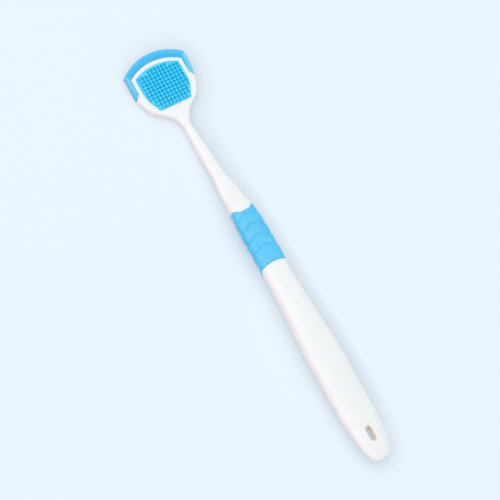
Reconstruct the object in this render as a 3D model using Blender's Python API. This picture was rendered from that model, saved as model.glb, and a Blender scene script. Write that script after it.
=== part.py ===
"""Tongue brush: a white moulded handle with a scraper lip, a nub pad and a grip of soft plastic.

Metres, +Z up. The brush lies on its back. +X runs from the tail to the head, +Y is to the left
when the head is up, and +Z comes out of the face that carries the nubs. The origin is at the
middle of the underside of the whole brush's box.
"""

import math

import bmesh
import bpy
from mathutils import Vector

# The whole brush, and the gap between a soft moulding and the plastic that it seats on
LENGTH = 0.180
CLEARANCE = 0.0003

# Head plate, seen from the front: distances run from the top of the head towards the tail
HEAD_WIDTH = 0.0270
HEAD_TOP_RADIUS = 0.0215
HEAD_CORNER_RADIUS = 0.0014
HEAD_SIDE_LENGTH = 0.0111
HEAD_SIDE_RADIUS = 0.0184
SHOULDER_START = 0.0224
SHOULDER_ANGLE = math.radians(55)
SHOULDER_FILLET = 0.0096
PLATE_THICKNESS = 0.0032
PLATE_EDGE_RADIUS = 0.0010
STUB_INSET = 0.00006

# Scraper lip: a wedge along the top of the head and part way down both sides
LIP_WIDTH_TOP = 0.0031
LIP_WIDTH_SIDE = 0.0020
LIP_TOP_RADIUS = 0.0210
LIP_INNER_CORNER = 0.0010
LIP_RISE = 0.0013
LIP_DEPTH = 0.0017
LIP_CREST_INSET = 0.0005
LIP_CREST_RADIUS = 0.00035
LIP_CREST_DROP = 0.11
LIP_TOE_RISE = 0.0001
LIP_OUTER_END = 0.0146
LIP_INNER_END = 0.0126
LIP_FADE_LENGTH = 0.0040
LIP_END_RISE = 0.0003
LIP_END_DEPTH = 0.0023

# Nub pad, in a pocket inside the white rim that runs along the lip
RIM_WIDTH_TOP = 0.00178
RIM_WIDTH_SIDE = 0.0017
PAD_LENGTH = 0.0174
PAD_TOP_RADIUS = 0.0212
PAD_SIDE_LENGTH = 0.0082
PAD_SIDE_RADIUS = 0.0140
PAD_TOP_CORNER = 0.0012
PAD_BOTTOM_CORNER = 0.0010
PAD_RAISE = 0.0003
PAD_EDGE_RADIUS = 0.00025
POCKET_DEPTH = 0.0016
NUB_PITCH_ALONG = 0.00151
NUB_PITCH_ACROSS = 0.00155
NUB_HEIGHT = 0.0019
NUB_BASE_RADIUS = 0.00046
NUB_TIP_RADIUS = 0.00025
NUB_ROOT_DEPTH = 0.0004
NUB_SIDES = 6
NUB_MARGIN = 0.00078
NUB_END_MARGIN = 0.0010

# Grip sleeve: a ring let into the handle, with four curved steps like overlapping scales
GRIP_START = 0.0712
GRIP_LENGTH = 0.0245
GRIP_DEPTH = 0.0012
GRIP_PROUD = 0.00015
GRIP_NOTCH = 0.0011
GRIP_SIDE_SWEEP = 0.0030
GRIP_SWEEP_TIGHTNESS = 16
STEP_COUNT = 4
STEP_FIRST = 0.0024
STEP_PITCH = 0.0046
STEP_HEIGHT = 0.0003
STEP_DROP = 0.0019
STEP_RAMP = 0.0003

# Handle: where each station is, with its width there and, seen from the side, the heights of
# its underside and of its top above the plane that the brush lies on. The neck and shaft are
# measured from the top of the head, the flare and waist from the grip, the rest from the tail.
ROOT_AT = 0.0248
ROOT_INSET = 0.0001
NECK_AT = 0.0320
NECK_WIDTH = 0.0034
NECK_CROWN = 0.0001
SHAFT_AT = 0.0425
SHAFT_WIDTH = 0.0045
SHAFT_UNDERSIDE = 0.0003
SHAFT_TOP = 0.0043
RISE_BEFORE_GRIP = 0.0182
RISE_WIDTH = 0.0049
RISE_UNDERSIDE = 0.0011
RISE_TOP = 0.0051
FLARE_BEFORE_GRIP = 0.0067
FLARE_WIDTH = 0.0077
FLARE_UNDERSIDE = 0.0018
FLARE_TOP = 0.0070
GRIP_FRONT_WIDTH = 0.0096
GRIP_FRONT_UNDERSIDE = 0.0014
GRIP_FRONT_TOP = 0.0089
GRIP_CREST_PAST_START = 0.0110
GRIP_WIDTH = 0.0111
GRIP_UNDERSIDE = 0.0006
GRIP_TOP = 0.0088
WAIST_PAST_GRIP = 0.0045
WAIST_WIDTH = 0.0106
WAIST_UNDERSIDE = 0.0004
WAIST_TOP = 0.0086
SWELL_FROM_END = 0.0630
SWELL_WIDTH = 0.0119
SWELL_UNDERSIDE = 0.0001
SWELL_TOP = 0.0088
BELLY_FROM_END = 0.0430
BELLY_WIDTH = 0.0144
BELLY_TOP = 0.0083
HIP_FROM_END = 0.0200
HIP_WIDTH = 0.0143
HIP_UNDERSIDE = 0.0013
HIP_TOP = 0.0075
TAIL_FROM_END = 0.0100
TAIL_WIDTH = 0.0127
TAIL_UNDERSIDE = 0.0025
TAIL_TOP = 0.0072
TAIL_END_WIDTH = 0.0105
TAIL_END_UNDERSIDE = 0.0028
TAIL_END_TOP = 0.0071
TAIL_ROUND = 0.0110
TAIL_BLUNTNESS = 4.8
TAIL_CAP_SHARE = 0.4
NECK_SQUARENESS = 3.2

# The handle's section is a D: its face is nearly flat, its widest line lies above the middle
# of its height, and its back is rounder. The neck and the flat tail are more alike on both sides.
FACE_SQUARENESS = 3.2
BACK_SQUARENESS = 2.25
WIDEST_SHARE = 0.66
TAIL_WIDEST_SHARE = 0.55

# Hang slot through the tail
SLOT_FROM_END = 0.0105
SLOT_LENGTH = 0.0061
SLOT_WIDTH = 0.0027
SLOT_EDGE_RADIUS = 0.0005
SLOT_BEND = 0.35
SLOT_FLARE_DEPTH = 1.1

RING_POINTS = 32

# How far a cutter reaches past the surface that it opens
CUT_OVER = 0.001

WHITE = (0.93, 0.94, 0.95, 1.0)
LIP_BLUE = (0.10, 0.52, 0.92, 1.0)
PAD_BLUE = (0.05, 0.45, 0.88, 1.0)
GRIP_BLUE = (0.12, 0.55, 0.93, 1.0)


def at(distance):
    """The X coordinate at a distance from the top of the head."""
    return LENGTH / 2 - distance


def lerp(a, b, share):
    return a + (b - a) * share


def arc(centre, radius, start, end, count):
    """Points (distance, half width) on an arc, with its angles measured from the head's way."""
    points = []
    for i in range(count + 1):
        angle = math.radians(lerp(start, end, i / count))
        points.append((centre[0] - radius * math.cos(angle), centre[1] + radius * math.sin(angle)))
    return points


def top_and_corner(top, radius, half, corner, count):
    """An arc across the top, from the middle line, and the round corner that ends it at the side."""
    reach = half - corner
    corner_at = top + radius - math.sqrt((radius - corner) ** 2 - reach**2)
    turn = math.degrees(math.asin(reach / (radius - corner)))
    points = arc((top + radius, 0.0), radius, 0.0, turn, count)
    return points + arc((corner_at, reach), corner, turn, 90.0, 4)[1:]


def side_half_width(distance):
    """Half the head's width along its sides, straight at first and then curving in."""
    past = max(0.0, distance - HEAD_SIDE_LENGTH)
    return HEAD_WIDTH / 2 - HEAD_SIDE_RADIUS + math.sqrt(HEAD_SIDE_RADIUS**2 - past**2)


def head_half_outline():
    """The head plate from the top of the head to the neck, on one side."""
    points = top_and_corner(0.0, HEAD_TOP_RADIUS, HEAD_WIDTH / 2, HEAD_CORNER_RADIUS, 12)
    for i in range(11):
        distance = lerp(HEAD_SIDE_LENGTH, SHOULDER_START, i / 10)
        points.append((distance, side_half_width(distance)))
    neck = NECK_WIDTH / 2 - STUB_INSET
    sine, cosine = math.sin(SHOULDER_ANGLE), math.cos(SHOULDER_ANGLE)
    fall = side_half_width(SHOULDER_START) - neck - SHOULDER_FILLET * (1 - cosine)
    fillet_at = SHOULDER_START + SHOULDER_FILLET * sine + fall * cosine / sine
    for i in range(9):
        angle = SHOULDER_ANGLE * (1 - i / 8)
        distance = fillet_at - SHOULDER_FILLET * math.sin(angle)
        points.append((distance, neck + SHOULDER_FILLET * (1 - math.cos(angle))))
    points.append((fillet_at + PLATE_EDGE_RADIUS * 1.3, neck))
    return points


PAD_TOP = LIP_WIDTH_TOP + RIM_WIDTH_TOP
PAD_BOTTOM = PAD_TOP + PAD_LENGTH
PAD_HALF = HEAD_WIDTH / 2 - LIP_WIDTH_SIDE - RIM_WIDTH_SIDE
POCKET_FLOOR = PLATE_THICKNESS - POCKET_DEPTH
PAD_SURFACE = PLATE_THICKNESS + PAD_RAISE


def pad_side(distance):
    """Half the pad's width at a distance from the top of the head."""
    past = max(0.0, distance - PAD_TOP - PAD_SIDE_LENGTH)
    return PAD_HALF - PAD_SIDE_RADIUS + math.sqrt(PAD_SIDE_RADIUS**2 - past**2)


def pad_half_outline():
    """The shield shape of the pad, from the middle of its top edge to that of its bottom edge."""
    points = top_and_corner(PAD_TOP, PAD_TOP_RADIUS, PAD_HALF, PAD_TOP_CORNER, 10)
    start = PAD_TOP + PAD_SIDE_LENGTH
    last = PAD_BOTTOM - PAD_BOTTOM_CORNER
    for i in range(8):
        distance = lerp(start, last, i / 7)
        points.append((distance, pad_side(distance)))
    lean = math.degrees(math.asin((last - start) / PAD_SIDE_RADIUS))
    reach = math.radians(lean)
    centre = (PAD_BOTTOM - PAD_BOTTOM_CORNER, pad_side(last) - PAD_BOTTOM_CORNER * math.cos(reach))
    points += arc(centre, PAD_BOTTOM_CORNER, 90.0 + lean, 180.0, 3)[1:]
    return points


def both_sides(half):
    """A closed outline in X and Y from one half of it."""
    left = [(at(d), h) for d, h in half]
    right = [(x, -y) for x, y in reversed(left) if y > 1e-7]
    return left + right


def object_in(collection, name, mesh, colour=None, roughness=0.5):
    made = bpy.data.objects.new(name, mesh)
    collection.objects.link(made)
    if colour is None:
        made.hide_render = True
        made.display_type = "WIRE"
        return made
    material = bpy.data.materials.new(name)
    material.use_nodes = True
    shader = material.node_tree.nodes["Principled BSDF"]
    shader.inputs["Base Color"].default_value = colour
    shader.inputs["Roughness"].default_value = roughness
    shader.inputs["Metallic"].default_value = 0.0
    mesh.materials.append(material)
    mesh.shade_smooth()
    mesh.set_sharp_from_angle(angle=math.radians(35))
    return made


def plate(name, outline, low, high, edge=0.0, grow=0.0):
    """A flat outline with a thickness and, if wanted, rounded edges."""
    curve = bpy.data.curves.new(name, "CURVE")
    curve.dimensions = "2D"
    curve.fill_mode = "BOTH"
    curve.extrude = (high - low) / 2 - edge
    curve.bevel_depth = edge
    curve.bevel_resolution = 1
    curve.offset = grow - edge
    spline = curve.splines.new("POLY")
    spline.points.add(len(outline) - 1)
    for point, (x, y) in zip(spline.points, outline):
        point.co = (x, y, 0.0, 1.0)
    spline.use_cyclic_u = True
    holder = bpy.data.objects.new(name, curve)
    bpy.context.scene.collection.objects.link(holder)
    graph = bpy.context.evaluated_depsgraph_get()
    mesh = bpy.data.meshes.new_from_object(holder.evaluated_get(graph))
    bpy.data.objects.remove(holder)
    bpy.data.curves.remove(curve)
    built = bmesh.new()
    built.from_mesh(mesh)
    bmesh.ops.remove_doubles(built, verts=built.verts, dist=1e-6)
    bmesh.ops.translate(built, verts=built.verts, vec=Vector((0.0, 0.0, (low + high) / 2)))
    bmesh.ops.recalc_face_normals(built, faces=built.faces)
    built.to_mesh(mesh)
    built.free()
    return mesh


def loft(name, rings, closed=False):
    """A skin through rings of the same number of points, capped at its ends or joined round."""
    built = bmesh.new()
    rows = [[built.verts.new(point) for point in ring] for ring in rings]
    count = len(rows[0])
    pairs = list(zip(rows, rows[1:]))
    if closed:
        pairs.append((rows[-1], rows[0]))
    for a, b in pairs:
        for j in range(count):
            k = (j + 1) % count
            built.faces.new((a[j], a[k], b[k], b[j]))
    if not closed:
        built.faces.new(rows[0])
        built.faces.new(rows[-1])
    bmesh.ops.recalc_face_normals(built, faces=built.faces)
    mesh = bpy.data.meshes.new(name)
    built.to_mesh(mesh)
    built.free()
    return mesh


def boolean(target, tool, operation):
    modifier = target.modifiers.new(tool.name, "BOOLEAN")
    modifier.operation = operation
    modifier.solver = "EXACT"
    modifier.object = tool


GRIP_END = GRIP_START + GRIP_LENGTH

STATIONS = (
    (ROOT_AT, NECK_WIDTH, ROOT_INSET, PLATE_THICKNESS - ROOT_INSET),
    (NECK_AT, NECK_WIDTH, ROOT_INSET, PLATE_THICKNESS + NECK_CROWN),
    (SHAFT_AT, SHAFT_WIDTH, SHAFT_UNDERSIDE, SHAFT_TOP),
    (GRIP_START - RISE_BEFORE_GRIP, RISE_WIDTH, RISE_UNDERSIDE, RISE_TOP),
    (GRIP_START - FLARE_BEFORE_GRIP, FLARE_WIDTH, FLARE_UNDERSIDE, FLARE_TOP),
    (GRIP_START, GRIP_FRONT_WIDTH, GRIP_FRONT_UNDERSIDE, GRIP_FRONT_TOP),
    (GRIP_START + GRIP_CREST_PAST_START, GRIP_WIDTH, GRIP_UNDERSIDE, GRIP_TOP),
    (GRIP_END + WAIST_PAST_GRIP, WAIST_WIDTH, WAIST_UNDERSIDE, WAIST_TOP),
    (LENGTH - SWELL_FROM_END, SWELL_WIDTH, SWELL_UNDERSIDE, SWELL_TOP),
    (LENGTH - BELLY_FROM_END, BELLY_WIDTH, 0.0, BELLY_TOP),
    (LENGTH - HIP_FROM_END, HIP_WIDTH, HIP_UNDERSIDE, HIP_TOP),
    (LENGTH - TAIL_FROM_END, TAIL_WIDTH, TAIL_UNDERSIDE, TAIL_TOP),
    (LENGTH, TAIL_END_WIDTH, TAIL_END_UNDERSIDE, TAIL_END_TOP),
)


def through_stations(distance, column):
    """A smooth curve through one column of the stations that doesn't overshoot them."""
    xs = [row[0] for row in STATIONS]
    ys = [row[column] for row in STATIONS]
    slopes = [(ys[i + 1] - ys[i]) / (xs[i + 1] - xs[i]) for i in range(len(xs) - 1)]
    tangents = [slopes[0]]
    for before, after in zip(slopes, slopes[1:]):
        tangents.append(0.0 if before * after <= 0 else 2 * before * after / (before + after))
    tangents.append(slopes[-1])
    i = 0
    while i < len(xs) - 2 and distance > xs[i + 1]:
        i += 1
    span = xs[i + 1] - xs[i]
    t = min(1.0, max(0.0, (distance - xs[i]) / span))
    rise = ys[i] * (1 + 2 * t) * (1 - t) ** 2 + ys[i + 1] * t * t * (3 - 2 * t)
    return rise + span * t * (1 - t) * (tangents[i] * (1 - t) - tangents[i + 1] * t)


def smooth_step(value, low, high):
    t = min(1.0, max(0.0, (value - low) / (high - low)))
    return t * t * (3 - 2 * t)


def tail_share(distance):
    """How much of the section is left at the round, blunt end of the tail."""
    left = max(0.0, LENGTH - distance)
    if left >= TAIL_ROUND:
        return 1.0
    return (1 - (1 - left / TAIL_ROUND) ** 2) ** (1 / TAIL_BLUNTNESS)


def faces(distance):
    """The heights of the handle's underside and of its top along its middle."""
    underside, top = through_stations(distance, 2), through_stations(distance, 3)
    middle = (underside + top) / 2
    share = tail_share(distance)
    return lerp(middle, underside, share), lerp(middle, top, share)


def skin(distance, angle, outward=0.0):
    """A point of the handle's surface, or one that lies outward of it, at an angle round it."""
    half_width = through_stations(distance, 1) / 2 * tail_share(distance) + outward
    underside, top = faces(distance)
    change = smooth_step(distance, NECK_AT, GRIP_START)
    flat = smooth_step(distance, LENGTH - BELLY_FROM_END, LENGTH - TAIL_FROM_END)
    share = lerp(lerp(0.5, WIDEST_SHARE, change), TAIL_WIDEST_SHARE, flat)
    widest = lerp(underside, top, share)
    cosine, sine = math.cos(angle), math.sin(angle)
    if sine < 0:
        power = 2 / lerp(NECK_SQUARENESS, BACK_SQUARENESS, change)
        reach = underside - widest - outward
    else:
        power = 2 / lerp(NECK_SQUARENESS, FACE_SQUARENESS, change)
        reach = top - widest + outward
    y = math.copysign(abs(cosine) ** power, cosine) * half_width
    return (at(distance), y, widest + reach * abs(sine) ** power)


def ring(line, outward=0.0):
    """One ring of the skin, whose place along the handle is a function of the angle."""
    angles = [2 * math.pi * j / RING_POINTS for j in range(RING_POINTS)]
    return [skin(line(angle), angle, outward) for angle in angles]


def level(distance):
    return lambda angle: distance


def between(first, second, share):
    return lambda angle: lerp(first(angle), second(angle), share)


def grip_front(angle):
    """The grip's front edge, with a notch at the middle of the face and of the back."""
    return GRIP_START + GRIP_NOTCH * math.sin(angle) ** 4


def grip_rear(angle):
    """The grip's rear edge, which sweeps towards the tail on both sides."""
    return GRIP_END + GRIP_SIDE_SWEEP * abs(math.cos(angle)) ** GRIP_SWEEP_TIGHTNESS


def step_line(number):
    """A step of the grip, curved like a scale, with its middle nearest the head."""

    def line(angle):
        across = abs(math.cos(angle)) ** (2 / FACE_SQUARENESS)
        apex = GRIP_START + STEP_FIRST + STEP_PITCH * number
        return apex + STEP_DROP * math.sin(math.pi / 2 * across) ** 2

    return line


def handle_rings():
    root = level(ROOT_AT)
    rings = [ring(between(root, grip_front, (i / 22) ** 0.9)) for i in range(23)]
    for i in range(9):
        rings.append(ring(between(grip_front, grip_rear, i / 8), -GRIP_DEPTH))
    tail_start = level(LENGTH - TAIL_ROUND)
    rings += [ring(between(grip_rear, tail_start, i / 20)) for i in range(21)]
    for i in range(1, 11):
        left = TAIL_ROUND * (1 - math.sin(math.pi / 2 * i / 10.6))
        rings.append(ring(level(LENGTH - left)))
    middle = (TAIL_END_UNDERSIDE + TAIL_END_TOP) / 2
    share = TAIL_CAP_SHARE
    rings.append([(at(LENGTH), y * share, lerp(middle, z, share)) for x, y, z in rings[-1]])
    return rings


def sleeve_rings():
    """Down the outside over the steps, and back along the inside."""
    front = lambda angle: grip_front(angle) + CLEARANCE
    rear = lambda angle: grip_rear(angle) - CLEARANCE
    lines = [front] + [step_line(i) for i in range(STEP_COUNT)] + [rear]
    rings = [ring(front)]
    for i, (first, second) in enumerate(zip(lines, lines[1:])):
        top = GRIP_PROUD + (STEP_HEIGHT if i else 0.0)
        start = lambda angle, first=first: first(angle) + STEP_RAMP / 2
        end = lambda angle, second=second: second(angle) - STEP_RAMP / 2
        for share in (0.0, 0.25, 0.5, 0.75, 1.0):
            rings.append(ring(between(start, end, share), lerp(top, GRIP_PROUD, share)))
    rings.append(ring(rear))
    for i in range(9):
        rings.append(ring(between(rear, front, i / 8), CLEARANCE - GRIP_DEPTH))
    return rings


def lip_paths(longer=0.0, wider=0.0):
    """The lip's outer and inner edges, point for point, from its left end to its right end. The
    seat's are a little longer, and wider on the outside, and its ends stay parallel to the lip's."""
    half = HEAD_WIDTH / 2
    radius, corner = HEAD_TOP_RADIUS + wider, HEAD_CORNER_RADIUS + wider
    outer = top_and_corner(-wider, radius, half + wider, corner, 12)
    inner_half = half - LIP_WIDTH_SIDE
    inner = top_and_corner(LIP_WIDTH_TOP, LIP_TOP_RADIUS, inner_half, LIP_INNER_CORNER, 12)
    outer_start, inner_start = outer[-1][0], inner[-1][0]
    slant = (LIP_OUTER_END - LIP_INNER_END) / LIP_WIDTH_SIDE
    outer_end = LIP_OUTER_END + longer + wider * slant
    for i in range(1, 9):
        far = lerp(outer_start, outer_end, i / 8)
        near = lerp(inner_start, LIP_INNER_END + longer, i / 8)
        outer.append((far, side_half_width(far) + wider))
        inner.append((near, side_half_width(near) - LIP_WIDTH_SIDE))
    left = [((at(a), b), (at(c), d)) for (a, b), (c, d) in zip(outer, inner)]
    right = [((x, -y), (p, -q)) for (x, y), (p, q) in left[1:]]
    return list(reversed(left)) + right


def band(name, paths, section):
    """A band between two edges. Its section depends on how near the lip's end is, and each point
    of the section is inset from the outer or the inner edge, with its own height."""
    rings = []
    for outer, inner in paths:
        edges = {"outer": Vector((*outer, 0.0)), "inner": Vector((*inner, 0.0))}
        way = (edges["inner"] - edges["outer"]).normalized()
        before_end = LIP_INNER_END - (LENGTH / 2 - inner[0])
        profile = section(smooth_step(before_end, 0.0, LIP_FADE_LENGTH))
        rings.append([edges[e] + way * inset + Vector((0.0, 0.0, z)) for e, inset, z in profile])
    return loft(name, rings)


def lip_floor(share):
    """The height of the lip's seat, which is deeper at the lip's two ends."""
    return PLATE_THICKNESS - lerp(LIP_END_DEPTH, LIP_DEPTH, share)


def lip_section(share):
    """Outer wall, rounded crest, slope down to the white rim, and the underside."""
    low = lip_floor(share) + CLEARANCE
    crest = PLATE_THICKNESS + lerp(LIP_END_RISE, LIP_RISE, share)
    points = [("outer", 0.0, low), ("outer", 0.0, crest - LIP_CREST_INSET)]
    for i in range(1, 4):
        turn = math.radians(30 * i)
        inset = LIP_CREST_INSET * (1 - math.cos(turn))
        points.append(("outer", inset, crest - LIP_CREST_INSET * (1 - math.sin(turn))))
    past = LIP_CREST_INSET + LIP_CREST_RADIUS
    points.append(("outer", past, crest - (crest - PLATE_THICKNESS) * LIP_CREST_DROP))
    points.append(("inner", -CLEARANCE, PLATE_THICKNESS + LIP_TOE_RISE))
    points.append(("inner", -CLEARANCE, low))
    return points


def seat_section(share):
    """The seat that the lip lies in, open towards the head's edge and upwards."""
    low, high = lip_floor(share), PLATE_THICKNESS + CUT_OVER
    return [("outer", 0.0, low), ("outer", 0.0, high), ("inner", 0.0, high), ("inner", 0.0, low)]


def nub_centres():
    """A grid with its middle between two columns, kept clear of the pad's edge."""
    centres = []
    distance = PAD_BOTTOM - NUB_END_MARGIN
    while distance > PAD_TOP + NUB_MARGIN:
        column = 0
        while True:
            across = NUB_PITCH_ACROSS * (column + 0.5)
            top = PAD_TOP + PAD_TOP_RADIUS - math.sqrt(PAD_TOP_RADIUS**2 - across**2)
            if across + NUB_MARGIN > pad_side(distance) or distance - NUB_MARGIN < top:
                break
            centres += [(at(distance), across), (at(distance), -across)]
            column += 1
        distance -= NUB_PITCH_ALONG
    return centres


def nubs(name, centres):
    """Every nub as a small turned shape whose foot is sunk in the pad."""
    tip = PAD_SURFACE + NUB_HEIGHT
    profile = (
        (PAD_SURFACE - NUB_ROOT_DEPTH, NUB_BASE_RADIUS),
        (PAD_SURFACE, NUB_BASE_RADIUS),
        (tip - NUB_TIP_RADIUS, NUB_TIP_RADIUS * 1.15),
        (tip, NUB_TIP_RADIUS * 0.5),
    )
    built = bmesh.new()
    for x, y in centres:
        rows = []
        for height, radius in profile:
            turns = [2 * math.pi * k / NUB_SIDES for k in range(NUB_SIDES)]
            spots = [(x + radius * math.cos(a), y + radius * math.sin(a), height) for a in turns]
            rows.append([built.verts.new(spot) for spot in spots])
        for low, high in zip(rows, rows[1:]):
            for k in range(NUB_SIDES):
                n = (k + 1) % NUB_SIDES
                built.faces.new((low[k], low[n], high[n], high[k]))
        built.faces.new(list(reversed(rows[0])))
        built.faces.new(rows[-1])
    bmesh.ops.recalc_face_normals(built, faces=built.faces)
    mesh = bpy.data.meshes.new(name)
    built.to_mesh(mesh)
    built.free()
    return mesh


def slot_rings():
    """The hang slot: a straight slot whose edges flare out at both faces of the tail."""
    flare, past = SLOT_EDGE_RADIUS, CUT_OVER
    down = [(-past, flare + past), (0.0, flare), (flare * SLOT_BEND, flare * SLOT_BEND)]
    down.append((flare * SLOT_FLARE_DEPTH, 0.0))
    levels = [(0, depth, grow) for depth, grow in down]
    levels += [(1, -depth, grow) for depth, grow in reversed(down)]
    run = (SLOT_LENGTH - SLOT_WIDTH) / 2
    rings = []
    for face, lift, grow in levels:
        radius = SLOT_WIDTH / 2 + grow
        points = []
        for side in (-1, 1):
            for i in range(10):
                angle = math.radians(90 * side + 20 * i)
                distance = LENGTH - SLOT_FROM_END + run * side - radius * math.cos(angle)
                points.append((at(distance), radius * math.sin(angle), faces(distance)[face] + lift))
        rings.append(points)
    return rings


for old in list(bpy.data.objects):
    bpy.data.objects.remove(old, do_unlink=True)

scene = bpy.context.scene
brush = bpy.data.collections.new("tongue_brush")
tools = bpy.data.collections.new("tongue_brush_cutters")
scene.collection.children.link(brush)
scene.collection.children.link(tools)

# Handle: one white moulding from the head plate to the tail
head_outline = both_sides(head_half_outline())
head_plate = object_in(
    tools, "head_plate", plate("head_plate", head_outline, 0.0, PLATE_THICKNESS, PLATE_EDGE_RADIUS)
)
handle = object_in(brush, "handle", loft("handle", handle_rings()), WHITE, 0.35)
boolean(handle, head_plate, "UNION")

seat_mesh = band("lip_seat", lip_paths(CLEARANCE * 1.2, CUT_OVER), seat_section)
lip_seat = object_in(tools, "lip_seat", seat_mesh)
boolean(handle, lip_seat, "DIFFERENCE")

pad_outline = both_sides(pad_half_outline())
pocket_top = PLATE_THICKNESS + CUT_OVER
pocket_mesh = plate("pad_pocket", pad_outline, POCKET_FLOOR, pocket_top, 0.0, CLEARANCE)
boolean(handle, object_in(tools, "pad_pocket", pocket_mesh), "DIFFERENCE")
boolean(handle, object_in(tools, "hang_slot", loft("hang_slot", slot_rings())), "DIFFERENCE")

# Scraper lip
lip_mesh = band("scraper_lip", lip_paths(), lip_section)
object_in(brush, "scraper_lip", lip_mesh, LIP_BLUE, 0.45)

# Nub pad, with its nubs grown out of it
pad_mesh = plate("brush_pad", pad_outline, POCKET_FLOOR + CLEARANCE, PAD_SURFACE, PAD_EDGE_RADIUS)
pad = object_in(brush, "brush_pad", pad_mesh, PAD_BLUE, 0.45)
pad_nubs = object_in(tools, "pad_nubs", nubs("pad_nubs", nub_centres()))
boolean(pad, pad_nubs, "UNION")

# Grip sleeve
object_in(brush, "grip_sleeve", loft("grip_sleeve", sleeve_rings(), closed=True), GRIP_BLUE, 0.5)
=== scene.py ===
import math

import bmesh
import bpy
from mathutils import Matrix, Vector


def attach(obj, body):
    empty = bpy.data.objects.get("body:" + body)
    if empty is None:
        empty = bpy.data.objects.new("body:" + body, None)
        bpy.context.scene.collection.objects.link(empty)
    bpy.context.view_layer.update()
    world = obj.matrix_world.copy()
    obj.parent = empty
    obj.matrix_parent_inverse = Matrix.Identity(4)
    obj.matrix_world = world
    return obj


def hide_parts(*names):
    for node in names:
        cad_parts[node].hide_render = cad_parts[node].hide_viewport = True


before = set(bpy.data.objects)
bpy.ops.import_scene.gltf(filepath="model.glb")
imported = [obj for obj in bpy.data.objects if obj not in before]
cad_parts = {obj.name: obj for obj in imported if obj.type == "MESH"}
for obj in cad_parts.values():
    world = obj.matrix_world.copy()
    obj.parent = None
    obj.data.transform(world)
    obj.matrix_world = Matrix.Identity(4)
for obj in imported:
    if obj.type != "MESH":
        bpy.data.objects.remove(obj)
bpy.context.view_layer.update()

# Sizes in metres, in the frame's own axes: +X to the head, +Y to the left, +Z out of the nubs.
# Distances along the brush run from the top of the head towards the tail.
LENGTH = 0.180
HEAD_WIDTH = 0.0270
SEAM = 0.00004
SOFT_EDGE = 0.00012
SLIVER = 1e-7

# The step that keeps two faces out of one plane, how far a cutter stands above the face that it
# cuts, and how far it flares there
HAIR = 0.00001
CLEAR = 0.001
CUT_FLARE = 0.0012

HEAD_TOP_RADIUS = 0.0215
HEAD_CORNER_RADIUS = 0.0014
HEAD_SIDE_LENGTH = 0.0111
HEAD_SIDE_RADIUS = 0.0184
SHOULDER_START = 0.0224
SHOULDER_ANGLE = math.radians(55)
SHOULDER_FILLET = 0.0096
SHOULDER_SOFTENING = 0.0007
PLATE_THICKNESS = 0.0032
PLATE_EDGE_RADIUS = 0.0010
PLATE_EDGE_LARGEST_SHARE = 0.75  # of half the width

LIP_WIDTH_TOP = 0.0031
LIP_WIDTH_SIDE = 0.0020
LIP_TOP_RADIUS = 0.0210
LIP_INNER_CORNER = 0.0010
LIP_RISE = 0.0013
LIP_DEPTH = 0.0017
LIP_CREST_INSET = 0.0005
LIP_OUTER_END = 0.0146
LIP_INNER_END = 0.0126
LIP_FADE_LENGTH = 0.0040
LIP_END_RISE = 0.00015
LIP_END_DEPTH = 0.0023
LIP_TOE_RISE = 0.00008
LIP_FOOT_CHAMFER = 0.00006
LIP_SLOPE_STRAIGHT = 0.3  # share of its fall, and the rest steepens by a power
LIP_SLOPE_POWER = 2.2
MITRE = 0.0180

RIM_WIDTH_TOP = 0.00178
RIM_WIDTH_SIDE = 0.0017
PAD_LENGTH = 0.0174
PAD_TOP_RADIUS = 0.0212
PAD_SIDE_LENGTH = 0.0082
PAD_SIDE_RADIUS = 0.0140
PAD_TOP_CORNER = 0.0012
PAD_BOTTOM_CORNER = 0.0014
PAD_RAISE = 0.0003
PAD_EDGE_RADIUS = 0.00028
POCKET_DEPTH = 0.0016
NUB_PITCH_ALONG = 0.00151
NUB_PITCH_ACROSS = 0.00155
NUB_HEIGHT = 0.0019
NUB_BASE_RADIUS = 0.00052
NUB_TIP_RADIUS = 0.00042
NUB_FOOT_RADIUS = 0.00016
NUB_TAPER_HALFWAY = 0.45  # share of the taper that is done halfway up
NUB_ROOT_DEPTH = 0.0005
NUB_MARGIN = 0.00078
NUB_END_MARGIN = 0.0010

GRIP_START = 0.0712
GRIP_LENGTH = 0.0245
GRIP_DEPTH = 0.0012
GRIP_PROUD = 0.00015
GRIP_EDGE = 0.00020
GRIP_EDGE_MIDDLE = 0.00008
GRIP_NOTCH = 0.00095
GRIP_ARC = 0.00095
GRIP_SIDE_SWEEP = 0.0030
STEP_COUNT = 4
STEP_FIRST = 0.0024
STEP_PITCH = 0.0046
STEP_DROP = 0.0019

# Where round the grip, as the sine of the angle from its side, the notch starts and is full, and
# the sweep is full and starts to fade
GRIP_NOTCH_START = 0.76
GRIP_NOTCH_FULL = 0.98
GRIP_SWEEP_FULL = 0.40
GRIP_SWEEP_FADE = 0.5

SLOT_FROM_END = 0.0108
SLOT_LENGTH = 0.0056
SLOT_WIDTH = 0.0020
SLOT_RUN = (SLOT_LENGTH - SLOT_WIDTH) / 2
SLOT_EDGE_OUT = 0.00055
SLOT_EDGE_DOWN = 0.0018
SLOT_DISH_FLARE = 0.0004

# The shallow dish round the slot in the tail's back, from its rim to the slot: out, deep
SLOT_DISH = (
    (0.0030, 0.0),
    (0.0028, 0.00018),
    (0.0025, 0.0006),
    (0.0022, 0.0012),
    (0.0018, 0.0017),
    (0.0013, 0.0020),
    (0.0008, 0.0022),
    (0.0003, 0.0023),
    (0.0, 0.0025),
)

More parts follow.
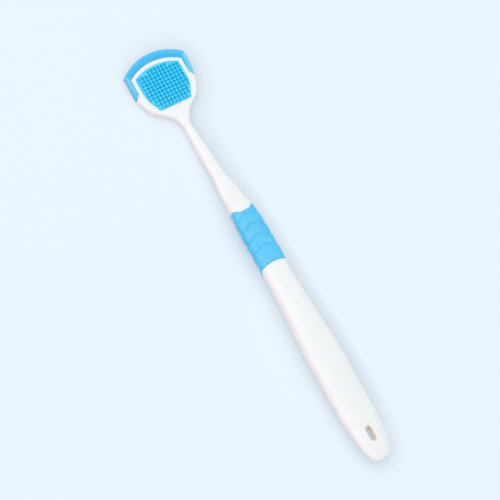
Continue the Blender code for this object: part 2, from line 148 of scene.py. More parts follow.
NECK_WIDTH = 0.0034
NECK_SQUARENESS = 3.2
FACE_SQUARENESS = 3.2
BACK_SQUARENESS = 2.25
GRIP_BACK_SQUARENESS = 2.0
WIDEST_SHARE = 0.66
GRIP_WIDEST_LIFT = 0.09
GRIP_LIFT_BEFORE = 0.0040
GRIP_LIFT_AFTER = 0.0060
TAIL_WIDEST_SHARE = 0.55
TAIL_CHANGE_START = LENGTH - 0.0430
TAIL_CHANGE_END = LENGTH - 0.0100
TAIL_ROUND = 0.0110
TAIL_BLUNTNESS = 4.8
GRIP_END = GRIP_START + GRIP_LENGTH

# The profile of a step, from the groove at its foot up to its rounded brow: along, outward
GROOVE_WIDTH = 0.00056
GROOVE = (
    (-0.00042, 0.00005),
    (-0.00028, -0.00001),
    (-0.00014, -0.00005),
    (-0.00004, -0.00003),
    (0.00004, 0.00006),
    (0.00012, 0.00018),
    (0.00022, 0.00028),
    (0.00036, 0.00034),
    (0.00054, 0.00036),
)

# Stations along the handle: distance, width, height of the underside, height of the top
STATIONS = (
    (0.0320, NECK_WIDTH, 0.0001, 0.0033),
    (0.0425, 0.0045, 0.0003, 0.0043),
    (GRIP_START - 0.0182, 0.0053, 0.0011, 0.0052),
    (GRIP_START - 0.0067, 0.0082, 0.0018, 0.0071),
    (GRIP_START, 0.0095, 0.0016, 0.0089),
    (GRIP_START + 0.0110, 0.0107, 0.0011, 0.0088),
    (GRIP_END + 0.0045, 0.0107, 0.0007, 0.0089),
    (LENGTH - 0.0630, 0.0123, 0.0002, 0.0091),
    (LENGTH - 0.0430, 0.0144, 0.0, 0.0086),
    (LENGTH - 0.0200, 0.0143, 0.0013, 0.0075),
    (LENGTH - 0.0100, 0.0127, 0.0025, 0.0072),
    (LENGTH, 0.0105, 0.0028, 0.0071),
)
NECK_AT = STATIONS[0][0]
NECK_BLEND_START = NECK_AT - 0.0060
NECK_BLEND_END = NECK_AT + 0.0020

# How finely the handle's skin is divided: spans on a quarter of a ring, and on its parts
QUARTER = 24
WALL_POINTS = 2
EDGE_POINTS = 8

# Where the lines that bend along the head's top edge have become straight, and the reach over
# which the slope of the width is taken
HEAD_LINES_END = 0.0095
SLOPE_REACH = 1e-4

# Rings along the handle, from the head's top edge to the tail
TOP_EDGE_RINGS = 6
TOP_RINGS = 16
HEAD_RINGS = 52
SHAFT_RINGS = 44
WAIST_RINGS = 4
BELLY_RINGS = 60
TAIL_RINGS = 24
TAIL_RING_SPREAD = 24.6
TAIL_CAP_SHARES = (0.66, 0.33)

# Spans on the other curves, and rings of the grip sleeve
TOP_SPANS = 40
CORNER_SPANS = 10
SOFT_EDGE_SPANS = 4
LIP_SIDE_SPANS = 28
LIP_CREST_SPANS = 8
LIP_SLOPE_SPANS = 12
PAD_SIDE_SPANS = 12
PAD_CURVE_SPANS = 24
PAD_CORNER_SPANS = 8
PAD_END_SPANS = 12
PAD_EDGE_SPANS = 6
NUB_SIDES = 16
NUB_FOOT_SPANS = 4
NUB_DOME_POINTS = 6
NUB_DOME_SPREAD = 5.6
SLOT_EDGE_SPANS = 10
SLOT_ARC_SPANS = 17
STEP_RINGS = 8
LAST_STEP_RINGS = 10
SLEEVE_INSIDE_RINGS = 4


def at(distance):
    """The X coordinate at a distance from the top of the head."""
    return LENGTH / 2 - distance


def lerp(a, b, share):
    return a + (b - a) * share


def smooth_step(value, low, high):
    t = min(1.0, max(0.0, (value - low) / (high - low)))
    return t * t * (3 - 2 * t)


def through_stations(distance, column):
    """A smooth curve through one column of the stations that doesn't overshoot them."""
    xs = [row[0] for row in STATIONS]
    ys = [row[column] for row in STATIONS]
    slopes = [(ys[i + 1] - ys[i]) / (xs[i + 1] - xs[i]) for i in range(len(xs) - 1)]
    tangents = [0.0]
    for before, after in zip(slopes, slopes[1:]):
        tangents.append(0.0 if before * after <= 0 else 2 * before * after / (before + after))
    tangents.append(slopes[-1])
    i = 0
    while i < len(xs) - 2 and distance > xs[i + 1]:
        i += 1
    span = xs[i + 1] - xs[i]
    t = min(1.0, max(0.0, (distance - xs[i]) / span))
    rise = ys[i] * (1 + 2 * t) * (1 - t) ** 2 + ys[i + 1] * t * t * (3 - 2 * t)
    return rise + span * t * (1 - t) * (tangents[i] * (1 - t) - tangents[i + 1] * t)


def side_half_width(distance):
    """Half the head's width along its sides, straight at first and then curving in."""
    past = max(0.0, distance - HEAD_SIDE_LENGTH)
    return HEAD_WIDTH / 2 - HEAD_SIDE_RADIUS + math.sqrt(HEAD_SIDE_RADIUS**2 - past**2)


def sharp_half_width(distance):
    """Half the width of the head, of its shoulders and of the neck, with a sharp shoulder."""
    if distance < SHOULDER_START:
        return side_half_width(distance)
    neck = NECK_WIDTH / 2
    sine, cosine = math.sin(SHOULDER_ANGLE), math.cos(SHOULDER_ANGLE)
    start = side_half_width(SHOULDER_START)
    fall = start - neck - SHOULDER_FILLET * (1 - cosine)
    fillet_start = SHOULDER_START + fall * cosine / sine
    fillet_end = fillet_start + SHOULDER_FILLET * sine
    if distance < fillet_start:
        return start - (distance - SHOULDER_START) * sine / cosine
    if distance < fillet_end:
        back = fillet_end - distance
        return neck + SHOULDER_FILLET - math.sqrt(SHOULDER_FILLET**2 - back**2)
    return neck


def half_width(distance):
    """Half the body's width, with the shoulder softened a little."""
    if distance > NECK_AT:
        return through_stations(distance, 1) / 2
    reach = SHOULDER_SOFTENING
    around = [sharp_half_width(distance + reach * k) for k in (-1.0, -0.5, 0.0, 0.5, 1.0)]
    return sum(w * v for w, v in zip((1, 2, 2, 2, 1), around)) / 8


def tail_share(distance):
    """How much of the section is left at the round, blunt end of the tail."""
    left = max(0.0, LENGTH - distance)
    if left >= TAIL_ROUND:
        return 1.0
    return (1 - (1 - left / TAIL_ROUND) ** 2) ** (1 / TAIL_BLUNTNESS)


def faces(distance):
    """The heights of the underside and of the top along the middle, flat along the head."""
    share = smooth_step(distance, SHOULDER_START, NECK_AT)
    low = lerp(0.0, through_stations(distance, 2), share)
    high = lerp(PLATE_THICKNESS, through_stations(distance, 3), share)
    middle = (low + high) / 2
    share = tail_share(distance)
    return lerp(middle, low, share), lerp(middle, high, share)


def plate_quarter(half, rise, edge_across, edge_up):
    """A quarter of a plate's section: its wall, its rounded edge, and half of its flat face."""
    points = [(half, (rise - edge_up) * k / WALL_POINTS) for k in range(WALL_POINTS)]
    for k in range(EDGE_POINTS):
        turn = math.pi / 2 * k / EDGE_POINTS
        y = half - edge_across * (1 - math.cos(turn))
        points.append((y, rise - edge_up * (1 - math.sin(turn))))
    flat = QUARTER - WALL_POINTS - EDGE_POINTS
    for k in range(flat + 1):
        share = math.cos(math.pi / 2 * k / flat)
        points.append(((half - edge_across) * share, rise))
    return points


def round_quarter(half, rise, squareness):
    """A quarter of the handle's section, between an ellipse and a rectangle."""
    points = []
    for k in range(QUARTER + 1):
        turn = math.pi / 2 * k / QUARTER
        y = half * abs(math.cos(turn)) ** (2 / squareness)
        points.append((y, rise * abs(math.sin(turn)) ** (2 / squareness)))
    points[-1] = (0.0, rise)
    return points


def all_round(upper, lower):
    """A closed section from two quarters: counter-clockwise, from the +Y side over the top."""
    top = upper + [(-y, z) for y, z in reversed(upper[:-1])]
    return top + [(-y, -z) for y, z in lower[1:]] + [(y, -z) for y, z in reversed(lower[1:-1])]


RING_ANGLES = [2 * math.pi * j / (4 * QUARTER) for j in range(4 * QUARTER)]


def section(distance, outward=0.0):
    """The body's section: a flat plate on the head, and a D with a rounder back from the neck."""
    low, high = faces(distance)
    half = half_width(distance) * tail_share(distance) + outward
    change = smooth_step(distance, NECK_AT, GRIP_START)
    flat = smooth_step(distance, TAIL_CHANGE_START, TAIL_CHANGE_END)
    widest = lerp(low, high, lerp(lerp(0.5, WIDEST_SHARE, change), TAIL_WIDEST_SHARE, flat))
    gripped = smooth_step(distance, GRIP_START - GRIP_LIFT_BEFORE, GRIP_START + GRIP_LIFT_AFTER)
    gripped *= 1 - smooth_step(distance, GRIP_END - GRIP_LIFT_BEFORE, GRIP_END + GRIP_LIFT_AFTER)
    widest += (high - low) * GRIP_WIDEST_LIFT * gripped
    growth = half_width(distance + SLOPE_REACH) - half_width(distance - SLOPE_REACH)
    lean = growth / (2 * SLOPE_REACH)
    largest = half * PLATE_EDGE_LARGEST_SHARE
    across = min(PLATE_EDGE_RADIUS * math.sqrt(1 + lean * lean), largest)
    blend = smooth_step(distance, NECK_BLEND_START, NECK_BLEND_END)
    back = lerp(BACK_SQUARENESS, GRIP_BACK_SQUARENESS, gripped)
    quarters = []
    for rise, squareness in ((high - widest, FACE_SQUARENESS), (widest - low, back)):
        reach = rise + outward
        plate = plate_quarter(half, reach, across, min(PLATE_EDGE_RADIUS, reach))
        rounded = round_quarter(half, reach, lerp(NECK_SQUARENESS, squareness, change))
        quarters.append([
            (lerp(a, c, blend), lerp(b, d, blend)) for (a, b), (c, d) in zip(plate, rounded)
        ])
    return all_round(*quarters), widest


def ring(line, outward=0.0):
    """A ring of the handle's skin, whose place along the handle is a function of the angle."""
    points = []
    for j, angle in enumerate(RING_ANGLES):
        distance = line(angle)
        outline, widest = section(distance, outward)
        y, z = outline[j]
        points.append((at(distance), y, widest + z))
    return points


def level(distance):
    return lambda angle: distance


def between(first, second, share):
    return lambda angle: lerp(first(angle), second(angle), share)


def grip_front(angle):
    """The grip's front edge, with a notch at the middle of the face and of the back."""
    notched = smooth_step(abs(math.sin(angle)), GRIP_NOTCH_START, GRIP_NOTCH_FULL)
    return GRIP_START + GRIP_NOTCH * notched


def grip_rear(angle):
    """The grip's rear edge: an arc over the face, and a lobe towards the tail low on each side."""
    across = abs(math.cos(angle)) ** (2 / FACE_SQUARENESS)
    under = max(0.0, -math.sin(angle))
    lobe = smooth_step(under, 0.0, GRIP_SWEEP_FULL)
    lobe *= 1 - smooth_step(under, GRIP_SWEEP_FADE, 1.0)
    return GRIP_END - GRIP_ARC * (1 - across**2) + GRIP_SIDE_SWEEP * lobe


def step_line(number):
    """A step of the grip, curved like a scale, with its middle nearest the head."""

    def line(angle):
        across = abs(math.cos(angle)) ** (2 / FACE_SQUARENESS)
        apex = GRIP_START + STEP_FIRST + STEP_PITCH * number
        return apex + STEP_DROP * math.sin(math.pi / 2 * across) ** 2

    return line


def head_top_line(y):
    """Distance of the head's top edge at a place across it, round the corner to the side."""
    y = min(abs(y), HEAD_WIDTH / 2)
    reach = HEAD_WIDTH / 2 - HEAD_CORNER_RADIUS
    inner = HEAD_TOP_RADIUS - HEAD_CORNER_RADIUS
    corner_at = HEAD_TOP_RADIUS - math.sqrt(inner**2 - reach**2)
    touch = reach + HEAD_CORNER_RADIUS * reach / inner
    if y < touch:
        return HEAD_TOP_RADIUS - math.sqrt(HEAD_TOP_RADIUS**2 - y**2)
    return corner_at - math.sqrt(max(0.0, HEAD_CORNER_RADIUS**2 - (y - reach) ** 2))


def head_ring(distance, edge_up, rise):
    """A ring near the top of the head, bent along the top edge and straighter further down."""
    quarter = plate_quarter(HEAD_WIDTH / 2, rise, edge_up, edge_up)
    share = distance / HEAD_LINES_END
    middle = PLATE_THICKNESS / 2
    points = []
    for y, z in all_round(quarter, quarter):
        points.append((at(distance + (1 - share) * head_top_line(y)), y, middle + z))
    return points


def new_object(name, data):
    made = bpy.data.objects.new(name, data)
    bpy.context.scene.collection.objects.link(made)
    return made


def add_rows(built, rings):
    return [[built.verts.new(point) for point in points] for points in rings]


def join_rows(built, first, second):
    count = len(first)
    for j in range(count):
        k = (j + 1) % count
        built.faces.new((first[j], first[k], second[k], second[j]))


def mesh_from(built, name):
    """The finished mesh, with its faces turned outward."""
    bmesh.ops.recalc_face_normals(built, faces=built.faces)
    mesh = bpy.data.meshes.new(name)
    built.to_mesh(mesh)
    built.free()
    return mesh


def skin_through(name, rings, closed=False):
    """A skin through rings of the same number of points, closed on itself or capped."""
    built = bmesh.new()
    rows = add_rows(built, rings)
    for first, second in zip(rows, rows[1:]):
        join_rows(built, first, second)
    if closed:
        join_rows(built, rows[-1], rows[0])
    else:
        built.faces.new(rows[0])
        built.faces.new(rows[-1])
    return mesh_from(built, name)


def body_rings():
    """Rings from the head's top edge to the tail, with a groove for the grip."""
    edge = PLATE_EDGE_RADIUS
    half = PLATE_THICKNESS / 2
    rings = []
    for k in range(TOP_EDGE_RINGS + 1):
        turn = math.pi / 2 * k / TOP_EDGE_RINGS
        rise = half - edge * (1 - math.sin(turn))
        rings.append(head_ring(edge * (1 - math.cos(turn)), edge * math.sin(turn), rise))
    for k in range(1, TOP_RINGS):
        rings.append(head_ring(lerp(edge, HEAD_LINES_END, k / TOP_RINGS), edge, half))
    for k in range(HEAD_RINGS):
        rings.append(ring(level(lerp(HEAD_LINES_END, NECK_AT, k / HEAD_RINGS))))
    neck, tail_start = level(NECK_AT), level(LENGTH - TAIL_ROUND)
    for start, end, count, outward in (
        (neck, grip_front, SHAFT_RINGS, 0.0),
        (grip_front, grip_rear, WAIST_RINGS, -GRIP_DEPTH),
        (grip_rear, tail_start, BELLY_RINGS, 0.0),
    ):
        rings += [ring(between(start, end, k / count), outward) for k in range(count + 1)]
    for k in range(1, TAIL_RINGS + 1):
        left = TAIL_ROUND * (1 - math.sin(math.pi / 2 * k / TAIL_RING_SPREAD))
        rings.append(ring(level(LENGTH - left)))
    last = rings[-1]
    middle = sum(p[2] for p in last) / len(last)
    for share in TAIL_CAP_SHARES:
        rings.append([(at(LENGTH), y * share, lerp(middle, z, share)) for x, y, z in last])
    return rings


def body_mesh():
    """The white body as one skin: head plate, neck, and handle with its waist for the grip."""
    built = bmesh.new()
    rows = add_rows(built, body_rings())
    for first, second in zip(rows, rows[1:]):
        join_rows(built, first, second)
    built.faces.new(rows[-1])
    front = rows[0]
    flat = WALL_POINTS + EDGE_POINTS + 1
    for j in range(flat, 2 * QUARTER - flat):
        built.faces.new((front[j], front[j + 1], front[-j - 1], front[-j]))
    built.faces.new([front[j] for j in range(-flat, flat + 1)])
    built.faces.new([front[j] for j in range(2 * QUARTER - flat, 2 * QUARTER + flat + 1)])
    bmesh.ops.remove_doubles(built, verts=built.verts, dist=SLIVER)
    return mesh_from(built, "body")


def arc(centre, radius, start, end, count):
    """Points (distance, half width) on an arc, with its angles measured from the head's way."""
    points = []
    for i in range(count + 1):
        angle = math.radians(lerp(start, end, i / count))
        points.append((centre[0] - radius * math.cos(angle), centre[1] + radius * math.sin(angle)))
    return points


def top_and_corner(top, radius, half, corner):
    """An arc across the top from the middle line, and the round corner that ends it."""
    reach = half - corner
    corner_at = top + radius - math.sqrt((radius - corner) ** 2 - reach**2)
    turn = math.degrees(math.asin(reach / (radius - corner)))
    points = arc((top + radius, 0.0), radius, 0.0, turn, TOP_SPANS)
    return points + arc((corner_at, reach), corner, turn, 90.0, CORNER_SPANS)[1:]


def lip_paths(longer=0.0, wider=0.0, inward=0.0):
    """The lip's outer and inner edges, point for point, from its left end to its right end."""
    half = HEAD_WIDTH / 2
    radius, corner = HEAD_TOP_RADIUS + wider, HEAD_CORNER_RADIUS + wider
    outer = top_and_corner(-wider, radius, half + wider, corner)
    side = LIP_WIDTH_SIDE + inward
    inner_radius = LIP_TOP_RADIUS - inward
    inner = top_and_corner(LIP_WIDTH_TOP + inward, inner_radius, half - side, LIP_INNER_CORNER)
    outer_start, inner_start = outer[-1][0], inner[-1][0]
    slant = (LIP_OUTER_END - LIP_INNER_END) / LIP_WIDTH_SIDE
    outer_end = LIP_OUTER_END + longer + wider * slant
    inner_end = LIP_INNER_END + longer - inward * slant
    for i in range(1, LIP_SIDE_SPANS + 1):
        far = lerp(outer_start, outer_end, i / LIP_SIDE_SPANS)
        near = lerp(inner_start, inner_end, i / LIP_SIDE_SPANS)
        outer.append((far, side_half_width(far) + wider))
        inner.append((near, side_half_width(near) - side))
    left = [((at(a), b), (at(c), d)) for (a, b), (c, d) in zip(outer, inner)]
    right = [((x, -y), (p, -q)) for (x, y), (p, q) in left[1:]]
    return list(reversed(left)) + right


def band(name, paths, profile_for):
    """A band between two edges, whose profile depends on how near the lip's end is."""
    rings = []
    for outer, inner in paths:
        edges = {"outer": Vector((*outer, 0.0)), "inner": Vector((*inner, 0.0))}
        across = edges["inner"] - edges["outer"]
        way = across.normalized()
        before_end = LIP_INNER_END - (LENGTH / 2 - inner[0])
        profile = profile_for(smooth_step(before_end, 0.0, LIP_FADE_LENGTH), across.length)
        rings.append([edges[e] + way * inset + Vector((0.0, 0.0, z)) for e, inset, z in profile])
    return skin_through(name, rings)


def lip_floor(share):
    return PLATE_THICKNESS - lerp(LIP_END_DEPTH, LIP_DEPTH, share)


def lip_profile(share, width):
    """Outer wall, rounded crest, slope that steepens down to the white rim, and underside."""
    low = lip_floor(share) + SEAM
    crest = PLATE_THICKNESS + lerp(LIP_END_RISE, LIP_RISE, share)
    toe = PLATE_THICKNESS + LIP_TOE_RISE
    points = [("outer", LIP_FOOT_CHAMFER, low), ("outer", 0.0, low + LIP_FOOT_CHAMFER)]
    radius = lerp(PLATE_EDGE_RADIUS, LIP_CREST_INSET, share)
    for i in range(LIP_CREST_SPANS + 1):
        turn = math.pi / 2 * i / LIP_CREST_SPANS
        inset = radius * (1 - math.cos(turn))
        points.append(("outer", inset, crest - radius * (1 - math.sin(turn))))
    for i in range(1, LIP_SLOPE_SPANS + 1):
        run = i / LIP_SLOPE_SPANS
        fall = run * LIP_SLOPE_STRAIGHT + run**LIP_SLOPE_POWER * (1 - LIP_SLOPE_STRAIGHT)
        points.append(("outer", lerp(radius, width - SEAM, run), lerp(crest, toe, fall)))
    points.append(("inner", -SEAM, low))
    return points


def seat_profile(share, width):
    """The seat that the lip lies in, with a soft edge where it meets the white rim."""
    low, high = lip_floor(share), PLATE_THICKNESS + CLEAR
    points = [("outer", 0.0, low), ("outer", 0.0, high), ("inner", SOFT_EDGE + CLEAR, high)]
    for i in range(1, SOFT_EDGE_SPANS + 1):
        turn = math.pi / 2 * i / SOFT_EDGE_SPANS
        height = PLATE_THICKNESS - SOFT_EDGE * (1 - math.cos(turn))
        points.append(("inner", SOFT_EDGE * (1 - math.sin(turn)), height))
    return points + [("inner", 0.0, low)]


PAD_TOP = LIP_WIDTH_TOP + RIM_WIDTH_TOP
PAD_BOTTOM = PAD_TOP + PAD_LENGTH
PAD_HALF = HEAD_WIDTH / 2 - LIP_WIDTH_SIDE - RIM_WIDTH_SIDE
PAD_SURFACE = PLATE_THICKNESS + PAD_RAISE


def pad_side(distance):
    """Half the pad's width at a distance from the top of the head."""
    past = max(0.0, distance - PAD_TOP - PAD_SIDE_LENGTH)
    return PAD_HALF - PAD_SIDE_RADIUS + math.sqrt(PAD_SIDE_RADIUS**2 - past**2)


def pad_outline():
    """The pad's closed shield shape as (distance, across), starting at the middle of the top."""
    half = top_and_corner(PAD_TOP, PAD_TOP_RADIUS, PAD_HALF, PAD_TOP_CORNER)
    corner_end = half[-1][0]
    start = PAD_TOP + PAD_SIDE_LENGTH
    last = PAD_BOTTOM - PAD_BOTTOM_CORNER
    down = [lerp(corner_end, start, k / PAD_SIDE_SPANS) for k in range(1, PAD_SIDE_SPANS)]
    down += [lerp(start, last, k / PAD_CURVE_SPANS) for k in range(PAD_CURVE_SPANS + 1)]
    half += [(d, pad_side(d)) for d in down]
    lean = math.degrees(math.asin((last - start) / PAD_SIDE_RADIUS))
    across = pad_side(last) - PAD_BOTTOM_CORNER * math.cos(math.radians(lean))
    half += arc((last, across), PAD_BOTTOM_CORNER, 90.0 + lean, 180.0, PAD_CORNER_SPANS)[1:]
    half += [(PAD_BOTTOM, across * (1 - k / PAD_END_SPANS)) for k in range(1, PAD_END_SPANS)]
    return half + [(PAD_BOTTOM, 0.0)] + [(d, -h) for d, h in reversed(half[1:])]


def offset_outline(outline, out):
    """The outline moved outward along its own normals."""
    moved = []
    count = len(outline)
    for i, (d, h) in enumerate(outline):
        before, after = outline[i - 1], outline[(i + 1) % count]
        run = Vector((after[0] - before[0], after[1] - before[1])).normalized()
        moved.append((d - run.y * out, h + run.x * out))
    return moved


def outline_rings(outline, levels):
    """Rings in X, Y, Z from the outline, one for each (offset, height)."""
    rings = []
    for out, z in levels:
        rings.append([(at(d), h, z) for d, h in offset_outline(outline, out)])
    return rings


def nub_centres():
    """Rows and columns that keep clear of the pad's edge, with the middle between two columns."""
    centres = []
    distance = PAD_BOTTOM - NUB_END_MARGIN
    while distance > PAD_TOP + NUB_MARGIN:
        column = 0
        while True:
            across = NUB_PITCH_ACROSS * (column + 0.5)
            top = PAD_TOP + PAD_TOP_RADIUS - math.sqrt(PAD_TOP_RADIUS**2 - across**2)
            if across + NUB_MARGIN > pad_side(distance) or distance - NUB_MARGIN < top:
                break
            centres += [(at(distance), across), (at(distance), -across)]
            column += 1
        distance -= NUB_PITCH_ALONG
    return centres


def nub_profile():
    """A nub's outline: sunk foot, fillet on to the pad, gentle taper, and domed tip."""
    tip = PAD_SURFACE + NUB_HEIGHT
    points = [(PAD_SURFACE - NUB_ROOT_DEPTH, NUB_BASE_RADIUS + NUB_FOOT_RADIUS)]
    for i in range(NUB_FOOT_SPANS + 1):
        turn = math.pi / 2 * i / NUB_FOOT_SPANS
        height = PAD_SURFACE + NUB_FOOT_RADIUS * (1 - math.cos(turn)) - HAIR
        points.append((height, NUB_BASE_RADIUS + NUB_FOOT_RADIUS * (1 - math.sin(turn))))
    dome = tip - NUB_TIP_RADIUS
    halfway = lerp(points[-1][0], dome, 0.5)
    points.append((halfway, lerp(NUB_BASE_RADIUS, NUB_TIP_RADIUS, NUB_TAPER_HALFWAY)))
    for i in range(NUB_DOME_POINTS):
        turn = math.pi / 2 * i / NUB_DOME_SPREAD
        points.append((dome + NUB_TIP_RADIUS * math.sin(turn), NUB_TIP_RADIUS * math.cos(turn)))
    return points


def nubs_mesh():
    """Every nub as a turned shape, in one mesh."""
    profile = nub_profile()
    turns = [2 * math.pi * k / NUB_SIDES for k in range(NUB_SIDES)]
    built = bmesh.new()
    for x, y in nub_centres():
        rows = add_rows(built, [
            [(x + radius * math.cos(a), y + radius * math.sin(a), height) for a in turns]
            for height, radius in profile
        ])
        for low, high in zip(rows, rows[1:]):
            join_rows(built, low, high)
        built.faces.new(list(reversed(rows[0])))
        built.faces.new(rows[-1])
    return mesh_from(built, "nubs")


def slot_mesh():
    """The hang slot's cutter: a rounded edge in the tail's face, and a shallow dish in its back.

    Its rings are race tracks that follow the tail's face, and then its back."""
    centre = LENGTH - SLOT_FROM_END
    levels = [(1, SLOT_EDGE_OUT + CUT_FLARE, CLEAR)]
    for k in range(SLOT_EDGE_SPANS + 1):
        turn = math.pi / 2 * k / SLOT_EDGE_SPANS
        out = SLOT_EDGE_OUT * (1 - math.sin(turn))
        levels.append((1, out, -SLOT_EDGE_DOWN * (1 - math.cos(turn))))
    levels += [(-1, out, -deep) for out, deep in reversed(SLOT_DISH)]
    levels.append((-1, SLOT_DISH[0][0] + SLOT_DISH_FLARE, CLEAR))
    rings = []
    for side, out, up in levels:
        radius = SLOT_WIDTH / 2 + out
        points = []
        for end in (0, 1):
            for i in range(SLOT_ARC_SPANS + 1):
                angle = math.pi * (end - 0.5) + math.pi * i / SLOT_ARC_SPANS
                d = centre - (SLOT_RUN if end == 0 else -SLOT_RUN) - radius * math.cos(angle)
                low, high = faces(d)
                z = high + up + HAIR if side > 0 else low - up - HAIR
                points.append((at(d), radius * math.sin(angle), z))
        rings.append(points)
    return skin_through("slot", rings)


def apply_boolean(target, tool, operation):
    modifier = target.modifiers.new("cut", "BOOLEAN")
    modifier.operation = operation
    modifier.solver = "EXACT"
    modifier.object = tool
    graph = bpy.context.evaluated_depsgraph_get()
    mesh = bpy.data.meshes.new_from_object(target.evaluated_get(graph))
    target.modifiers.clear()
    target.data = mesh
    bpy.data.objects.remove(tool)


def drop_slivers(piece):
    """Takes out the faces of no width that a cut leaves."""
    mesh = bmesh.new()
    mesh.from_mesh(piece.data)
    bmesh.ops.remove_doubles(mesh, verts=mesh.verts, dist=SLIVER)
    bmesh.ops.dissolve_degenerate(mesh, edges=mesh.edges, dist=SLIVER)
    mesh.to_mesh(piece.data)
    mesh.free()


def finish_piece(piece, material, sharp_angle=40):
    piece.data.shade_smooth()
    piece.data.set_sharp_from_angle(angle=math.radians(sharp_angle))
    piece.data.materials.clear()
    piece.data.materials.append(material)


# Materials. Colours are linear red, green and blue.
WHITE = ((0.892, 0.920, 0.943), (0.912, 0.938, 0.958))
# A warm colour painted on the hang slot's walls: a painted glow of light through the plastic
SLOT_WALL_PAINTED_GLOW = (1.0, 0.75, 0.64)
LIP_BLUE = ((0.050, 0.535, 0.915), (0.075, 0.575, 0.940))
# A paler blue painted on the lip's arms: painted light
LIP_ARM_PAINTED_LIGHT = (0.30, 0.74, 0.95)
GRIP_BLUE = ((0.076, 0.563, 0.920), (0.106, 0.603, 0.945))
# The pad's blue where the nubs hide the sky is painted shade; the paler blue where it lies open, as
# at its margin, is painted light
PAD_BLUE = ((0.0, 0.63, 0.91), (0.01, 0.66, 0.93))
PAD_OPEN_PAINTED_LIGHT = (0.08, 0.66, 0.96)
# The nubs painted darker at the foot and lighter up to the tip: painted shade and light
NUB_SHADED_FOOT = (0.0, 0.66, 0.98)
NUB_PAINTED_MIDDLE = (0.02, 0.75, 1.0)
NUB_LIT_TIP = (0.15, 0.79, 1.0)
GLOW_SCALE = 0.001
SLOT_GLOW_SCALE = 0.004
# The share of painted light on the lip's arms at their crest and at their foot, and the width over
# which it fades in at the mitre
ARM_PAINTED_LIGHT_SHARE = 0.52
ARM_FOOT_PAINTED_LIGHT_SHARE = 0.25
ARM_PAINTED_LIGHT_BLEND = 0.0002
# Where up a nub its painted middle colour sits
NUB_PAINTED_MIDDLE_AT = 0.45
# How open a point of the pad is where its painted shade is full, and where it is gone
PAD_SHADE_FULL_BELOW = 0.50
PAD_SHADE_GONE_ABOVE = 0.80

# The plastics' noises, as scale and detail, and how much they change
CLOUD_NOISE = (260.0, 3.0)
SHINE_NOISE = (900.0, 4.0)
SHINE_BELOW = 0.04
SHINE_ABOVE = 0.05
GRAIN_DETAIL = 2.0
GRAIN_STRENGTH = 0.35
NOISE_MIDDLE = (0.3, 0.7)
PLASTIC_IOR = 1.49


def shader_graph(name):
    material = bpy.data.materials.new(name)
    material.use_nodes = True
    tree = material.node_tree
    return material, tree, tree.nodes["Principled BSDF"]


def feed(tree, socket, value):
    """Links a node's output to the socket, or sets it to a number, or to a colour."""
    if isinstance(value, bpy.types.NodeSocket):
        tree.links.new(value, socket)
    else:
        socket.default_value = (*value, 1.0) if isinstance(value, tuple) else value


def calculate(tree, operation, first, second=0.0):
    node = tree.nodes.new("ShaderNodeMath")
    node.operation = operation
    feed(tree, node.inputs[0], first)
    feed(tree, node.inputs[1], second)
    return node.outputs["Value"]


def map_range(tree, value, start, end, low=0.0, high=1.0):
    """The value mapped from start and end to low and high, and held there beyond them."""
    node = tree.nodes.new("ShaderNodeMapRange")
    names = ("Value", "From Min", "From Max", "To Min", "To Max")
    for name, setting in zip(names, (value, start, end, low, high)):
        feed(tree, node.inputs[name], setting)
    return node.outputs["Result"]


def mixed(tree, share, first, second):
    """A colour between two, each a colour or a node's output."""
    node = tree.nodes.new("ShaderNodeMix")
    node.data_type = "RGBA"
    for name, setting in zip(("Factor", "A", "B"), (share, first, second)):
        feed(tree, node.inputs[name], setting)
    return node.outputs["Result"]


def noise(tree, scale, detail):
    place = tree.nodes.new("ShaderNodeTexCoord")
    texture = tree.nodes.new("ShaderNodeTexNoise")
    texture.inputs["Scale"].default_value = scale
    texture.inputs["Detail"].default_value = detail
    tree.links.new(place.outputs["Object"], texture.inputs["Vector"])
    return texture.outputs["Fac"]


def spread(tree, value, low, high):
    """The middle of a noise's or mask's values mapped to a range."""
    return map_range(tree, value, *NOISE_MIDDLE, low, high)


def axes_of(tree):
    """The X, Y and Z of each point of the surface, in metres in the frame's own axes."""
    place = tree.nodes.new("ShaderNodeTexCoord")
    parts = tree.nodes.new("ShaderNodeSeparateXYZ")
    tree.links.new(place.outputs["Object"], parts.inputs["Vector"])
    return parts.outputs


def moulded(name, colours, roughness, grain, grain_depth, glow, glow_radius):
    """A moulded plastic: slightly cloudy colour, uneven gloss and a fine grain."""
    material, tree, shader = shader_graph(name)
    cloud = spread(tree, noise(tree, *CLOUD_NOISE), 0.0, 1.0)
    feed(tree, shader.inputs["Base Color"], mixed(tree, cloud, *colours))
    least, most = roughness - SHINE_BELOW, roughness + SHINE_ABOVE
    shine = spread(tree, noise(tree, *SHINE_NOISE), least, most)
    feed(tree, shader.inputs["Roughness"], shine)
    bump = tree.nodes.new("ShaderNodeBump")
    bump.inputs["Strength"].default_value = GRAIN_STRENGTH
    bump.inputs["Distance"].default_value = grain_depth
    feed(tree, bump.inputs["Height"], noise(tree, grain, GRAIN_DETAIL))
    feed(tree, shader.inputs["Normal"], bump.outputs["Normal"])
    shader.inputs["Subsurface Weight"].default_value = glow
    shader.inputs["Subsurface Radius"].default_value = glow_radius
    shader.inputs["Subsurface Scale"].default_value = GLOW_SCALE
    shader.inputs["IOR"].default_value = PLASTIC_IOR
    return material


def opened(material):
    """A moulded plastic's node tree, its shader, and the output that colours it."""
    tree = material.node_tree
    shader = tree.nodes["Principled BSDF"]
    return tree, shader, shader.inputs["Base Color"].links[0].from_socket


